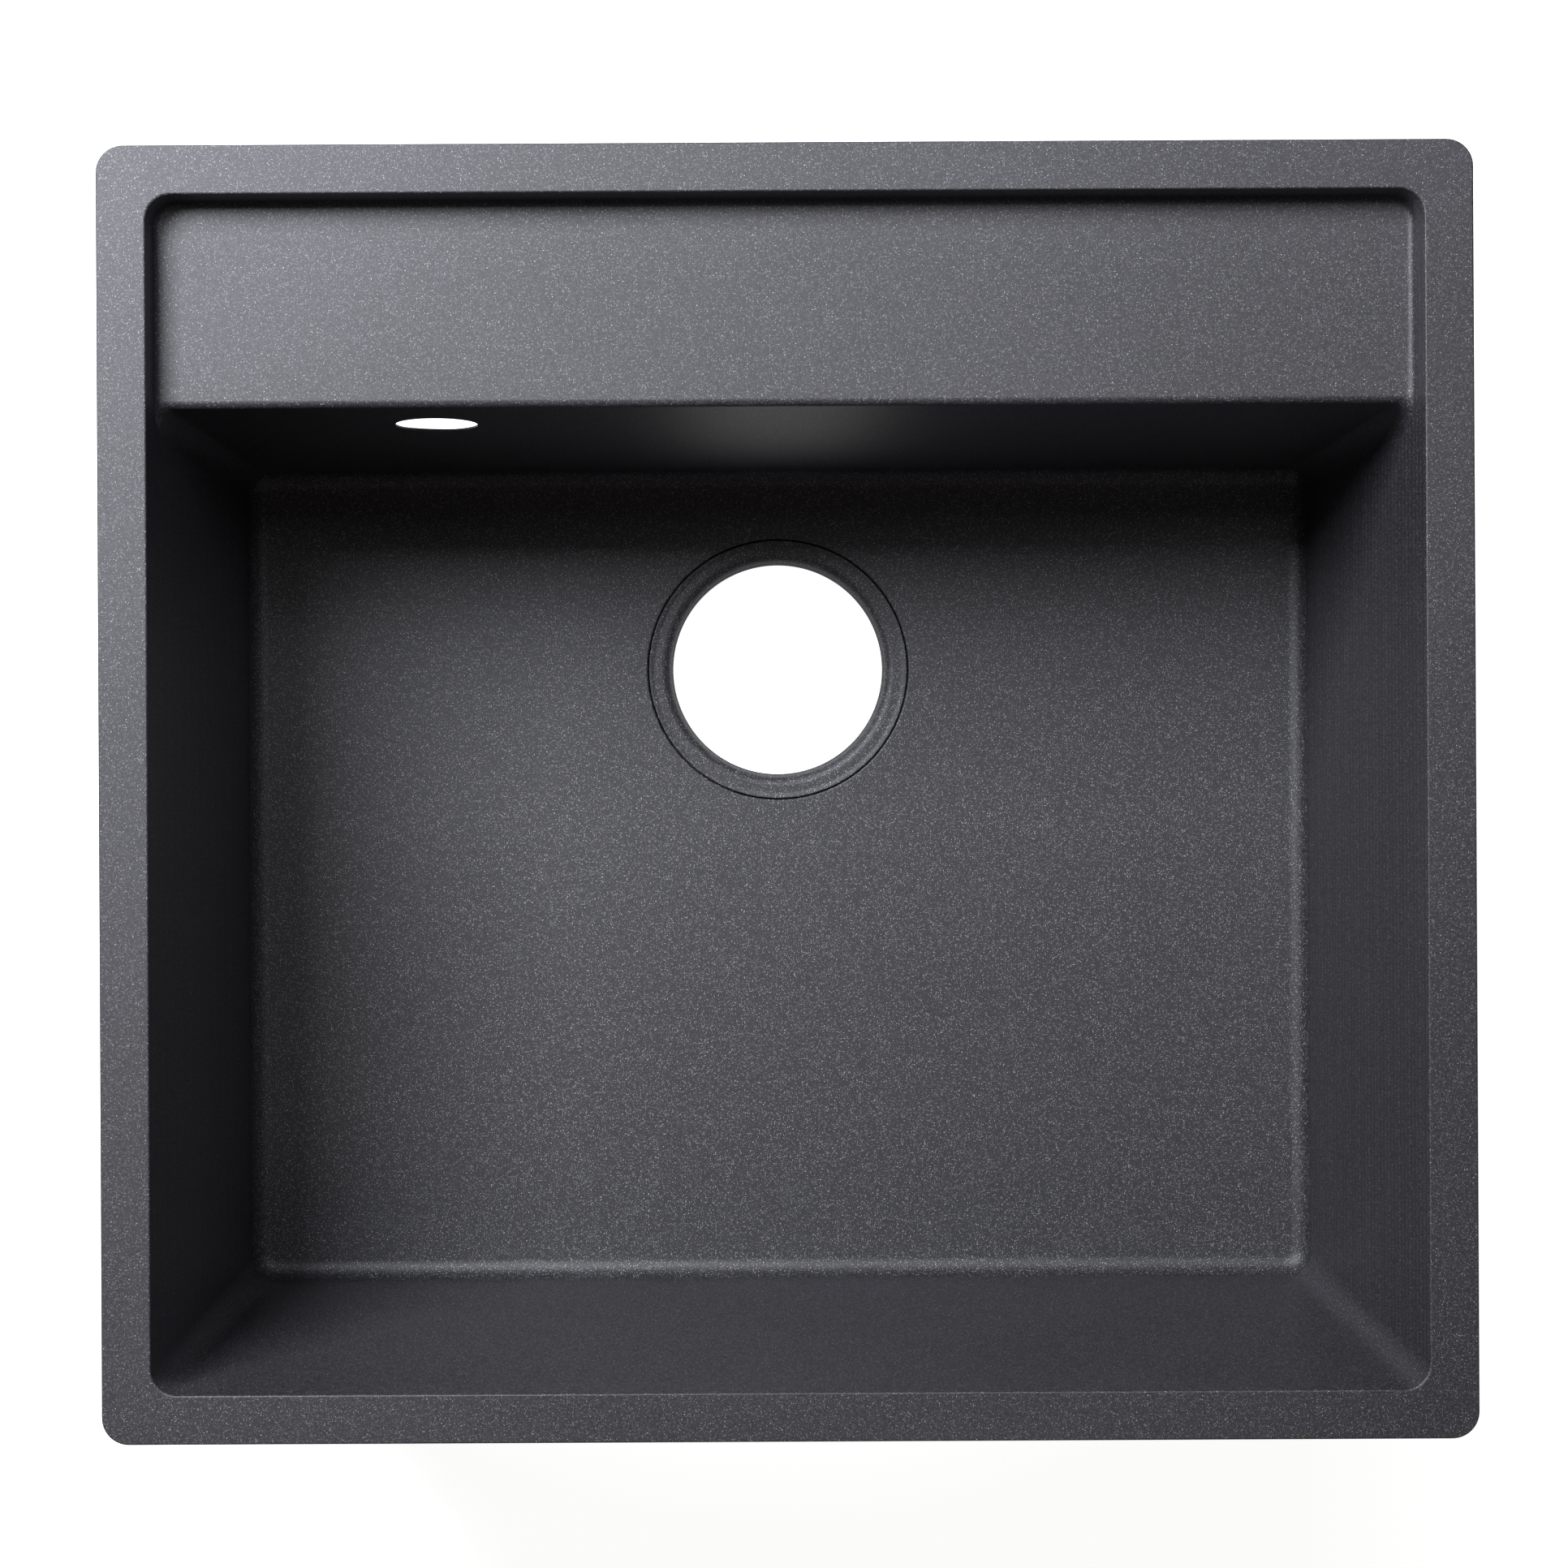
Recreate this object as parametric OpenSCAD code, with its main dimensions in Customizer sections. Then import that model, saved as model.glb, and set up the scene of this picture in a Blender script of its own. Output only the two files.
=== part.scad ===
// Inset composite kitchen sink: a moulded bowl with a sunken tap ledge, a bonded outlet ring,
// a foam seal under the rim, and eight screw clamps that pull the rim down on a worktop.
// Millimetres, +Z up, +Y towards the tap ledge. The origin is the middle of the rim's
// outline, on the plane that the underside rests on.

/* [Rim] */
// Width of the rim's outline, left to right
sink_w = 530; // [500:1:600]
// Depth of the rim's outline, front to back
sink_d = 500; // [470:1:560]
// Radius of the outline's corners
outline_r = 10.5; // [8:0.5:18]
// Width of the flat rim round the opening
rim_w = 19; // [18:0.5:26]
// Thickness of the rim
rim_t = 9; // [8:0.5:12]

/* [Bowl] */
// Depth from the rim's top to the outlet
bowl_depth = 200; // [170:1:230]
// Thickness of the walls, measured level
wall_t = 7; // [6:0.5:8]
// Thickness of the floor at the outlet
floor_t = 12; // [11:0.5:16]
// Lean of the walls from upright, in degrees
wall_draft = 4; // [3:0.5:6]
// Radius of the bowl's inner corners, and of the fillet round its floor
corner_r = 10; // [8:1:16]
// Fall of the floor from its edge to the outlet
floor_fall = 1.5; // [1:0.5:3]

/* [Tap ledge] */
// Width of the ledge, from the back of the opening to its front edge
ledge_w = 81; // [70:1:95]
// Drop of the ledge below the rim's top
ledge_drop = 16; // [10:1:20]
// Thickness of the ledge
ledge_t = 9; // [8:0.5:12]
// Radius of the fillet round the ledge
ledge_fillet = 2.5; // [2:0.5:7]
// Size of the easing on the ledge's front edge
ledge_ease = 3; // [2:0.5:4]
// Radius of the tap-hole recesses, which are knocked through to fit a tap
tap_hole_r = 17.5; // [16:0.5:19]
// Thickness left above a tap-hole recess
tap_skin = 3; // [2:0.5:4]
// Distance from the middle tap hole to each outer one
tap_pitch = 178; // [150:1:190]

/* [Outlet] */
// Distance from the ledge's front edge to the outlet's centre
outlet_back = 100; // [95:1:130]
// Radius of the waste hole through the outlet ring
outlet_r = 46.4; // [45:0.1:47]
// Radius of the recess that the outlet ring is bonded in
seat_r = 57.5; // [56:0.5:60]
// Height of the outlet ring's flange
flange_t = 6; // [5:0.5:8]
// Joint left round the outlet ring's flange
ring_joint = 0.5; // [0.3:0.1:0.6]
// Thickness of the outlet ring's wall below the flange
ring_wall = 4; // [3:0.5:5]

/* [Overflow] */
// Distance from the bowl's middle to the overflow hole, to the left
overflow_x = 139; // [100:1:170]
// Depth of the overflow hole's centre below the rim's top
overflow_depth = 60; // [50:1:70]
// Radius of the overflow hole
overflow_r = 16.5; // [14:0.5:17]
// Thickness of the wall at the overflow hole
overflow_lip = 2; // [1.5:0.5:3]
// Radius of the relief behind the overflow hole, where the overflow's washer seats
relief_r = 26; // [24:0.5:30]
// Length of the relief below the overflow hole's centre
relief_drop = 30; // [20:1:50]

/* [Rim seal] */
// Thickness of the foam seal
seal_t = 2.5; // [2:0.5:4]
// Distance from the rim's edge to the seal
seal_inset = 1; // [0.5:0.5:2]

/* [Clamps] */
// Radius of the clamp screw's shank
screw_r = 2; // [1.5:0.5:2]
// Length of the clamp screw below its head
screw_len = 34; // [32:1:38]
// Radius of the clamp screw's head
head_r = 3.5; // [3:0.5:3.5]
// Height of the clamp screw's head
head_h = 4; // [3:0.5:5]
// Width across the flats of the screw's hexagon socket
socket_af = 3; // [2.5:0.5:3]
// Depth of the screw's hexagon socket
socket_deep = 2; // [1.5:0.5:2.5]
// Travel of a clamp from parked to fully raised
clamp_travel = 17; // [14:1:20]
// Length of a clamp boss below the rim
boss_drop = 40; // [38:1:44]
// Wall of a clamp boss round its threaded insert
boss_wall = 1.6; // [1.4:0.1:1.8]
// Outer radius of a threaded insert
insert_r = 2.75; // [2.6:0.05:2.9]
// Length of a threaded insert
insert_len = 10; // [8:1:12]
// Radius of a washer
washer_r = 3.4; // [3:0.1:3.4]
// Thickness of a washer
washer_t = 0.8; // [0.6:0.1:1]
// Radius of a claw's hub, and half the width of its arm
claw_r = 3.4; // [3.2:0.1:3.6]
// Thickness of a claw's arm
claw_t = 5; // [4:0.5:6]
// Length of a claw's arm, from the screw's axis
claw_len = 24; // [20:1:28]
// Height of the claw's upturned tooth above its arm
tooth_h = 12; // [8:1:13]
// Thickness of the claw's tooth
tooth_t = 5; // [4:0.5:6]
// Distance from the bowl's middle to each front clamp
front_clamp_x = 150; // [120:1:180]
// Distance from the bowl's middle to each rear clamp
rear_clamp_x = 95; // [70:1:105]
// Distance in front of the middle to the front pair of side clamps
side_clamp_front = 140; // [120:1:170]
// Distance behind the middle to the rear pair of side clamps
side_clamp_back = 90; // [60:1:110]

/* [Hidden] */
// Gap between a screw and what turns or slides on it
running_gap = 0.05;
// Gap between pieces stacked on a screw
stack_gap = 0.1;
// Gap between a raised claw and the wall that it passes
wall_gap = 0.4;
// Gap between the seal and the clamp bosses
seal_gap = 0.5;
// How far the outlet ring's outer edge lies below the floor
ring_sink = 0.3;
// Gap left above a fully raised claw and beyond a fully raised screw
stop_gap = 0.5;
// How far a part runs into the one it is moulded to, or a cut past a face
bite = 1;
// Offset that keeps the ledge's side faces off the bowl's
side_step = 0.2;
// Thickness of the discs that a hull is stretched over
thin = 0.02;
// Thickness of a gusset
gusset_t = 6;
// Reach of a gusset under the ledge
gusset_reach = 34;
// Facets round the shapes that a hull is stretched over
facets = 32;
$fn = 96;

top_z = floor_t + bowl_depth;
rim_z = top_z - rim_t;
ledge_z = top_z - ledge_drop;
ledge_under = ledge_z - ledge_t;
open_x = sink_w / 2 - rim_w;
open_y = sink_d / 2 - rim_w;
ledge_y = open_y - ledge_w;
outlet_y = ledge_y - outlet_back;
tap_y = ledge_y + ledge_w / 2;
overflow_z = top_z - overflow_depth;
floor_edge_z = floor_t + floor_fall;

// Level distance that a wall leans in, from the rim's top down to height z
function lean(z) = (top_z - z) * tan(wall_draft);
// Half width of the opening, and where the bowl's front and rear faces are, at height z
function side_x(z) = open_x - lean(z);
function front_y(z) = -(open_y - lean(z));
function rear_y(z) = ledge_y - (ledge_z - z) * tan(wall_draft);

boss_r = insert_r + boss_wall;
boss_z = rim_z - boss_drop;
tooth_top = boss_z - stop_gap + tooth_h;
clamp_inset = rim_w - wall_t + lean(tooth_top) - claw_r - wall_gap;
seal_w = clamp_inset - boss_r - seal_gap - seal_inset;
claw_z = boss_z - stop_gap - clamp_travel - claw_t;
washer_z = claw_z - stack_gap - washer_t;
screw_z = washer_z - stack_gap;
screw_hole_top = screw_z + screw_len + clamp_travel + stop_gap;

// Where each clamp's screw stands, and the way that its claw works, in degrees from +X
clamp_side_x = sink_w / 2 - clamp_inset;
clamp_end_y = sink_d / 2 - clamp_inset;
clamps = [
  [clamp_side_x, -side_clamp_front, 0],
  [clamp_side_x, side_clamp_back, 0],
  [rear_clamp_x, clamp_end_y, 90],
  [-rear_clamp_x, clamp_end_y, 90],
  [-clamp_side_x, side_clamp_back, 180],
  [-clamp_side_x, -side_clamp_front, 180],
  [-front_clamp_x, -clamp_end_y, 270],
  [front_clamp_x, -clamp_end_y, 270],
];

// Flat outline with round corners
module round_rectangle(w, d, r) {
  square([w - 2 * r, d], center = true);
  square([w, d - 2 * r], center = true);
  for (x = [-1, 1], y = [-1, 1])
    translate([x * (w / 2 - r), y * (d / 2 - r)]) circle(r);
}

// Ball with a true pole, for a hull to be stretched over
module knuckle(r)
  rotate_extrude($fn = facets)
    polygon([for (i = [0 : facets / 2]) r * [sin(i * 360 / facets), -cos(i * 360 / facets)]]);

// Disc of radius r whose lower edge is rounded by f, its bottom at z = 0
module rounded_disc(r, f)
  rotate_extrude($fn = facets)
    polygon([
      [0, f], [0, 0],
      for (i = [0 : facets / 4]) [r - f + f * sin(i * 360 / facets), f - f * cos(i * 360 / facets)]
    ]);

// Solid that fills the bowl's walls, moved out by grow, from low_z up to high_z
module basin(grow, low_z, high_z, r) {
  reach = r / cos(wall_draft);
  middle_z = low_z + r;
  for (side = [-1, 1]) {
    for (y = [front_y(middle_z) - grow + reach, rear_y(middle_z) + grow - reach])
      translate([side * (side_x(middle_z) + grow - reach), y, middle_z]) knuckle(r);
    for (y = [front_y(high_z) - grow + reach, rear_y(high_z) + grow - reach])
      translate([side * (side_x(high_z) + grow - reach), y, high_z])
        cylinder(r = reach, h = thin, $fn = facets);
  }
}

// Solid that fills the space above the ledge, moved out by grow, from low_z up to high_z
module tray(grow, low_z, high_z, r, f) {
  reach = r - f + f / cos(wall_draft);
  middle_z = low_z + f;
  front = ledge_y - 4 * corner_r;
  for (side = [-1, 1], y_of = [0, 1]) {
    translate([
      side * (side_x(middle_z) - side_step + grow - reach),
      y_of * (open_y - lean(middle_z) + grow - reach - front) + front,
      low_z,
    ]) rounded_disc(r, f);
    translate([
      side * (side_x(high_z) - side_step + grow - reach),
      y_of * (open_y - lean(high_z) + grow - reach - front) + front,
      high_z,
    ]) cylinder(r = reach, h = thin, $fn = facets);
  }
}

// One facet of the easing along the ledge's front edge: it opens the bowl's rear face
// by back[0] at drop[0] below the ledge, and by back[1] at drop[1]
module easing(back, drop) {
  reach = corner_r / cos(wall_draft);
  for (side = [-1, 1], i = [0, 1]) {
    z = ledge_z - drop[i];
    for (y = [0, -2 * corner_r])
      translate([side * (side_x(z) - side_step - reach), rear_y(z) + back[i] - reach + y, z])
        cylinder(r = reach, h = thin, $fn = facets);
  }
}

// Places its children at every clamp's screw, turned so that +X is the way the claw works
module at_clamps()
  for (c = clamps) translate([c[0], c[1], 0]) rotate([0, 0, c[2]]) children();

// Upright plate at x, front to back, that fills an outline of [y, z] points
module gusset(x, outline)
  translate([x - gusset_t / 2, 0, 0]) rotate([90, 0, 90]) linear_extrude(gusset_t) polygon(outline);

// Gusset that ties a rear clamp boss to the ledge above it
module boss_gusset(x) {
  low_z = boss_z + insert_len / 2;
  gusset(x, [
    [clamp_end_y - gusset_reach, ledge_under + bite], [clamp_end_y, ledge_under + bite],
    [clamp_end_y, low_z], [clamp_end_y - boss_r, low_z],
    [clamp_end_y - gusset_reach, ledge_under - bite],
  ]);
}

// Gusset between the bowl's rear wall and the ledge
module ledge_gusset(x) {
  foot_y = rear_y(ledge_under) + wall_t;
  low_z = ledge_under - gusset_reach;
  gusset(x, [
    [foot_y - bite, ledge_under + bite], [foot_y + gusset_reach, ledge_under + bite],
    [foot_y + gusset_reach, ledge_under - bite],
    [rear_y(low_z) + wall_t, low_z], [rear_y(low_z) + wall_t - bite, low_z],
  ]);
}

// Everything that the moulding is made of, before it is hollowed
module bowl_blank() {
  translate([0, 0, rim_z]) linear_extrude(rim_t) rim_outline(0);
  hull() basin(wall_t, 0, rim_z + rim_t / 2, corner_r + wall_t);
  hull() tray(wall_t - side_step, ledge_under, rim_z + rim_t / 3, corner_r + wall_t, ledge_fillet);
  at_clamps() translate([0, 0, boss_z]) cylinder(r = boss_r, h = boss_drop + bite);
  for (x = [-rear_clamp_x, rear_clamp_x]) {
    boss_gusset(x);
    ledge_gusset(x);
  }
}

// Stands its children on the overflow hole's axis, with +Z square to the rear wall and
// z = 0 on the wall's inner face
module at_overflow()
  translate([-overflow_x, rear_y(overflow_z), overflow_z])
    rotate([-90 - wall_draft, 0, 0]) children();

// Shallow relief in the rear wall's outer face, which leaves overflow_lip at the hole
module overflow_relief() {
  depth = wall_t * cos(wall_draft) - overflow_lip + bite;
  at_overflow() translate([0, 0, overflow_lip]) {
    cylinder(r = relief_r, h = depth);
    translate([-relief_r, 0, 0]) cube([2 * relief_r, relief_drop, depth]);
    translate([0, relief_drop, 0]) cylinder(r = relief_r, h = depth);
  }
}

// Composite moulding: rim, bowl and tap ledge
module bowl() color([0.16, 0.16, 0.17])
  difference() {
    bowl_blank();
    hull() {
      basin(0, floor_edge_z, top_z + bite, corner_r);
      translate([0, outlet_y, floor_t]) cylinder(r = seat_r + 2 * bite, h = thin, $fn = 2 * facets);
    }
    hull() tray(0, ledge_z, top_z + bite, corner_r, ledge_fillet);
    hull() easing([0, ledge_ease / 4], [ledge_ease, ledge_ease / 3]);
    hull() easing([ledge_ease / 4, ledge_ease], [ledge_ease / 3, -thin]);
    translate([0, outlet_y, floor_t - flange_t]) cylinder(r = seat_r, h = flange_t + bite);
    translate([0, outlet_y, -bite]) cylinder(r = outlet_r + ring_wall, h = floor_t + bite);
    at_overflow() translate([0, 0, -bite]) cylinder(r = overflow_r, h = wall_t + 2 * bite);
    overflow_relief();
    for (x = [-tap_pitch, 0, tap_pitch])
      translate([x, tap_y, ledge_under - bite])
        cylinder(r = tap_hole_r, h = ledge_t - tap_skin + bite);
    at_clamps() {
      translate([0, 0, boss_z - bite]) cylinder(r = insert_r, h = insert_len + bite);
      translate([0, 0, boss_z]) cylinder(r = screw_r + stop_gap, h = screw_hole_top - boss_z);
    }
  }

// Ring of the same composite, bonded into the floor round the waste hole
module outlet_ring() color([0.17, 0.17, 0.18])
  translate([0, outlet_y, 0])
    rotate_extrude($fn = 2 * $fn) {
      rim_r = seat_r - ring_joint;
      spigot_r = outlet_r + ring_wall - running_gap;
      flange_w = rim_r - outlet_r;
      edge_z = floor_t - ring_sink;
      dish = 0.4;
      dish_r = min(2, flange_w / 5);
      round_r = min(3, flange_w / 3);
      throat = min(1.8, flange_w / 5);
      mouth_r = outlet_r + throat;
      flat_z = edge_z - dish;
      polygon([
        [outlet_r, 0], [spigot_r, 0], [spigot_r, floor_t - flange_t],
        [rim_r, floor_t - flange_t], [rim_r, edge_z],
        for (i = [0 : 4]) [rim_r - dish_r + dish_r * cos(i * 22.5), edge_z - dish * sin(i * 22.5)],
        for (i = [0 : 6]) [mouth_r + round_r - round_r * sin(i * 15), flat_z - round_r + round_r * cos(i * 15)],
        [outlet_r, flat_z - flange_t],
      ]);
    }

// The rim's outline, drawn in by inset
module rim_outline(inset)
  round_rectangle(sink_w - 2 * inset, sink_d - 2 * inset, max(outline_r - inset, bite));

// Foam strip under the rim's edge
module rim_seal() color([0.12, 0.12, 0.12])
  translate([0, 0, rim_z - seal_t])
    linear_extrude(seal_t)
      difference() {
        rim_outline(seal_inset);
        rim_outline(seal_inset + seal_w);
      }

// Brass insert pressed into the mouth of a clamp boss
module threaded_insert()
  translate([0, 0, boss_z])
    difference() {
      cylinder(r = insert_r, h = insert_len);
      translate([0, 0, -bite]) cylinder(r = screw_r + running_gap, h = insert_len + 2 * bite);
    }

module threaded_inserts() color([0.78, 0.62, 0.30]) at_clamps() threaded_insert();

// Steel claw that hangs on the clamp screw, parked along the wall
module claw(c) color([0.72, 0.73, 0.74])
  translate([c[0], c[1], claw_z]) rotate([0, 0, c[2] - 90])
    difference() {
      union() {
        cylinder(r = claw_r, h = claw_t);
        translate([0, -claw_r, 0]) cube([claw_len, 2 * claw_r, claw_t]);
        translate([claw_len - tooth_t, -claw_r, 0]) cube([tooth_t, 2 * claw_r, claw_t + tooth_h]);
      }
      translate([0, 0, -bite]) cylinder(r = screw_r + running_gap, h = claw_t + 2 * bite);
    }

// Socket-head screw that draws the claw up
module clamp_screw(c) color([0.62, 0.63, 0.65])
  translate([c[0], c[1], screw_z])
    difference() {
      union() {
        cylinder(r = screw_r, h = screw_len);
        translate([0, 0, -head_h]) cylinder(r = head_r, h = head_h);
      }
      translate([0, 0, -head_h - bite])
        cylinder(d = socket_af / cos(30), h = socket_deep + bite, $fn = 6);
    }

// Washer between the screw's head and the claw
module washer(c) color([0.70, 0.71, 0.72])
  translate([c[0], c[1], washer_z])
    difference() {
      cylinder(r = washer_r, h = washer_t);
      translate([0, 0, -bite]) cylinder(r = screw_r + running_gap, h = washer_t + 2 * bite);
    }

bowl();
outlet_ring();
rim_seal();
threaded_inserts();
for (i = [0 : len(clamps) - 1]) {
  claw(clamps[i]);
  clamp_screw(clamps[i]);
  washer(clamps[i]);
}
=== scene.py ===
"""Looks of a composite inset sink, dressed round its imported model.

Every size is in metres, and millimetres are written as a number times MM. The frame is the
model's own: +X to the right, +Y towards the tap ledge, +Z up, the underside on z = 0.
"""

import logging
import math
from dataclasses import dataclass, field
from enum import Enum
from typing import Callable, Sequence

import bmesh
import bpy
from mathutils import Matrix, Vector


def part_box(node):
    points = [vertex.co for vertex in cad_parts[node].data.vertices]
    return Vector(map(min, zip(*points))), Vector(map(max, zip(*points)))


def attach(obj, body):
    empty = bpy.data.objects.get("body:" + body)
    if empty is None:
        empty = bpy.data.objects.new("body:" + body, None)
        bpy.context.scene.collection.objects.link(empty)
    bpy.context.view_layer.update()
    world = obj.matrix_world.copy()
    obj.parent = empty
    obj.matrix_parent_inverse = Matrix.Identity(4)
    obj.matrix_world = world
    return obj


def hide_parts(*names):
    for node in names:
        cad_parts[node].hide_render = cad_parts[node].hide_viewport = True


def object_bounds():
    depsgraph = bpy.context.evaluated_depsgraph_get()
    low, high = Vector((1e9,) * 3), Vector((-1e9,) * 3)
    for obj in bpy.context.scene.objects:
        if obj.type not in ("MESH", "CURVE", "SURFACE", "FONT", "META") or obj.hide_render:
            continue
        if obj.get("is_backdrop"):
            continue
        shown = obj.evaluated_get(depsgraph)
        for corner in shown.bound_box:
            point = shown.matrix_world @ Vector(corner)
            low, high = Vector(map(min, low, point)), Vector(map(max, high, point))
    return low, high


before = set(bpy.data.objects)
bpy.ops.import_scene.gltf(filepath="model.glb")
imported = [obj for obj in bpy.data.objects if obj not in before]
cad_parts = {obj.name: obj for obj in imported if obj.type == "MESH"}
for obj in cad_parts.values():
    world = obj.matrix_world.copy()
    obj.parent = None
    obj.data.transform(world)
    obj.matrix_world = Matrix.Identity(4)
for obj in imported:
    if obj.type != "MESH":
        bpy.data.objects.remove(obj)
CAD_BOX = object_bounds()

MM = 0.001
NEAR = MM / 10
WELD = MM / 1000
LOG = logging.getLogger("sink")

Point = tuple[float, float]
Rgb = tuple[float, float, float]


class Pick(Enum):
    """What an edit selects."""

    VERT = "VERT"
    EDGE = "EDGE"
    FACE = "FACE"


class Cut(Enum):
    """How one solid is joined with another."""

    UNION = "UNION"
    DIFFERENCE = "DIFFERENCE"


def select_only(*objects: bpy.types.Object) -> None:
    """Selects these objects alone and makes the first one active.

    Args:
        objects: The objects that the next operator acts on.
    """
    bpy.ops.object.select_all(action="DESELECT")
    for obj in objects:
        obj.select_set(True)
    bpy.context.view_layer.objects.active = objects[0]


class Editing:
    """Edit mode on one object, entered with nothing selected."""

    def __init__(self, obj: bpy.types.Object, pick: Pick = Pick.EDGE) -> None:
        """Keeps what to edit.

        Args:
            obj: The mesh object to edit.
            pick: What the selections are made of.
        """
        self.obj = obj
        self.pick = pick

    def __enter__(self) -> "Editing":
        """Enters edit mode."""
        select_only(self.obj)
        bpy.ops.object.mode_set(mode="EDIT")
        self.mode(self.pick)
        return self

    def __exit__(self, *_: object) -> None:
        """Leaves edit mode."""
        bpy.ops.object.mode_set(mode="OBJECT")

    def mode(self, pick: Pick) -> None:
        """Switches what is selected, and clears the selection."""
        self.pick = pick
        bpy.ops.mesh.select_mode(type=pick.value)
        bpy.ops.mesh.select_all(action="DESELECT")

    def verts(self, rule: Callable[[Vector], bool]) -> int:
        """Selects the vertices whose place meets the rule, and returns how many."""
        mesh = bmesh.from_edit_mesh(self.obj.data)
        return self._take(mesh, [v for v in mesh.verts if rule(v.co)])

    def loose_ends(self) -> int:
        """Selects the vertices that end a chain, and returns how many."""
        mesh = bmesh.from_edit_mesh(self.obj.data)
        return self._take(mesh, [v for v in mesh.verts if len(v.link_edges) == 1])

    def edges(self, rule: Callable[[Vector, Vector], bool]) -> int:
        """Selects the edges whose two ends meet the rule, and returns how many."""
        mesh = bmesh.from_edit_mesh(self.obj.data)
        return self._take(mesh, [e for e in mesh.edges if rule(e.verts[0].co, e.verts[1].co)])

    def faces(self, rule: Callable[[Vector, Vector], bool]) -> int:
        """Selects the faces whose middle and normal meet the rule, and returns how many."""
        mesh = bmesh.from_edit_mesh(self.obj.data)
        mesh.normal_update()
        return self._take(mesh, [f for f in mesh.faces if rule(f.calc_center_median(), f.normal)])

    def _take(self, mesh: bmesh.types.BMesh, found: list) -> int:
        """Selects what was found, and returns how many."""
        bpy.ops.mesh.select_all(action="DESELECT")
        for item in found:
            item.select_set(True)
        mesh.select_flush_mode()
        bmesh.update_edit_mesh(self.obj.data)
        return len(found)


def add_box(name: str, low: Vector, high: Vector) -> bpy.types.Object:
    """Adds a box between two corners.

    Args:
        name: The object's name.
        low: Its lowest corner.
        high: Its highest corner.

    Returns:
        The box, with its place in its mesh.
    """
    bpy.ops.object.select_all(action="DESELECT")
    bpy.ops.mesh.primitive_cube_add(size=1, location=(low + high) / 2)
    box = bpy.context.object
    box.scale = high - low
    return settle(box, name)


def add_rod(name: str, radius: float, low: Vector, length: float, sides: int) -> bpy.types.Object:
    """Adds an upright cylinder.

    Args:
        name: The object's name.
        radius: Its radius.
        low: The middle of its lower end.
        length: Its length along Z.
        sides: How many sides it has.

    Returns:
        The cylinder, with its place in its mesh.
    """
    bpy.ops.object.select_all(action="DESELECT")
    bpy.ops.mesh.primitive_cylinder_add(
        vertices=sides, radius=radius, depth=length, location=low + Vector((0, 0, length / 2))
    )
    return settle(bpy.context.object, name)


def settle(obj: bpy.types.Object, name: str) -> bpy.types.Object:
    """Names an object and moves its place, turn and scale into its mesh."""
    select_only(obj)
    bpy.ops.object.transform_apply(location=True, rotation=True, scale=True)
    obj.name = obj.data.name = name
    return obj


def turn_and_move(obj: bpy.types.Object, turn: Matrix, place: Vector) -> bpy.types.Object:
    """Turns an object about the origin, moves it, and settles it there."""
    obj.matrix_world = Matrix.Translation(place) @ turn
    return settle(obj, obj.name)


def add_chain(name: str, places: Sequence[Vector]) -> bpy.types.Object:
    """Adds a chain of straight edges.

    Args:
        name: The object's name.
        places: The points that the chain runs through, in order.

    Returns:
        The chain, with its place in its mesh.
    """
    bpy.ops.object.select_all(action="DESELECT")
    bpy.ops.mesh.primitive_plane_add(size=MM, location=places[0])
    chain = settle(bpy.context.object, name)
    with Editing(chain, Pick.VERT):
        bpy.ops.mesh.select_all(action="SELECT")
        bpy.ops.mesh.merge(type="CENTER")
        for here, there in zip(places, places[1:]):
            bpy.ops.mesh.extrude_vertices_move(TRANSFORM_OT_translate={"value": there - here})
    return chain


def face_outwards() -> None:
    """Turns every face of the mesh that is being edited outwards."""
    bpy.ops.mesh.select_all(action="SELECT")
    bpy.ops.mesh.normals_make_consistent(inside=False)


def spin_profile(name: str, outline: Sequence[Point], centre: Vector, steps: int) -> bpy.types.Object:
    """Spins a closed outline of (radius, height) points round an upright axis.

    Args:
        name: The object's name.
        outline: The outline's points, in order.
        centre: A point on the axis, from which the heights are measured.
        steps: How many steps the full turn has.

    Returns:
        The spun mesh, welded, with its faces outwards.
    """
    spun = add_chain(name, [centre + Vector((r, 0, z)) for r, z in outline])
    with Editing(spun, Pick.VERT) as edit:
        edit.loose_ends()
        bpy.ops.mesh.edge_face_add()
        bpy.ops.mesh.select_all(action="SELECT")
        bpy.ops.mesh.spin(steps=steps, angle=math.tau, center=centre, axis=(0, 0, 1))
        bpy.ops.mesh.select_all(action="SELECT")
        bpy.ops.mesh.remove_doubles(threshold=WELD)
        face_outwards()
    return spun


def apply_modifier(obj: bpy.types.Object, name: str) -> None:
    """Applies one of an object's modifiers."""
    select_only(obj)
    bpy.ops.object.modifier_apply(modifier=name)


def join_solids(obj: bpy.types.Object, tool: bpy.types.Object, how: Cut) -> None:
    """Adds a solid to another, or cuts it away, and uses it up.

    Args:
        obj: The solid that stays.
        tool: The solid that is added or cut away, which is deleted.
        how: Whether it is added or cut away.
    """
    joint = obj.modifiers.new(how.value, "BOOLEAN")
    joint.operation = how.value
    joint.solver = "EXACT"
    joint.object = tool
    apply_modifier(obj, joint.name)
    bpy.data.objects.remove(tool)


def bevel_selected(width: float, segments: int) -> None:
    """Rounds the selected edges by a radius of width."""
    bpy.ops.mesh.bevel(offset=width, segments=segments, affect="EDGES", clamp_overlap=False)


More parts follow.
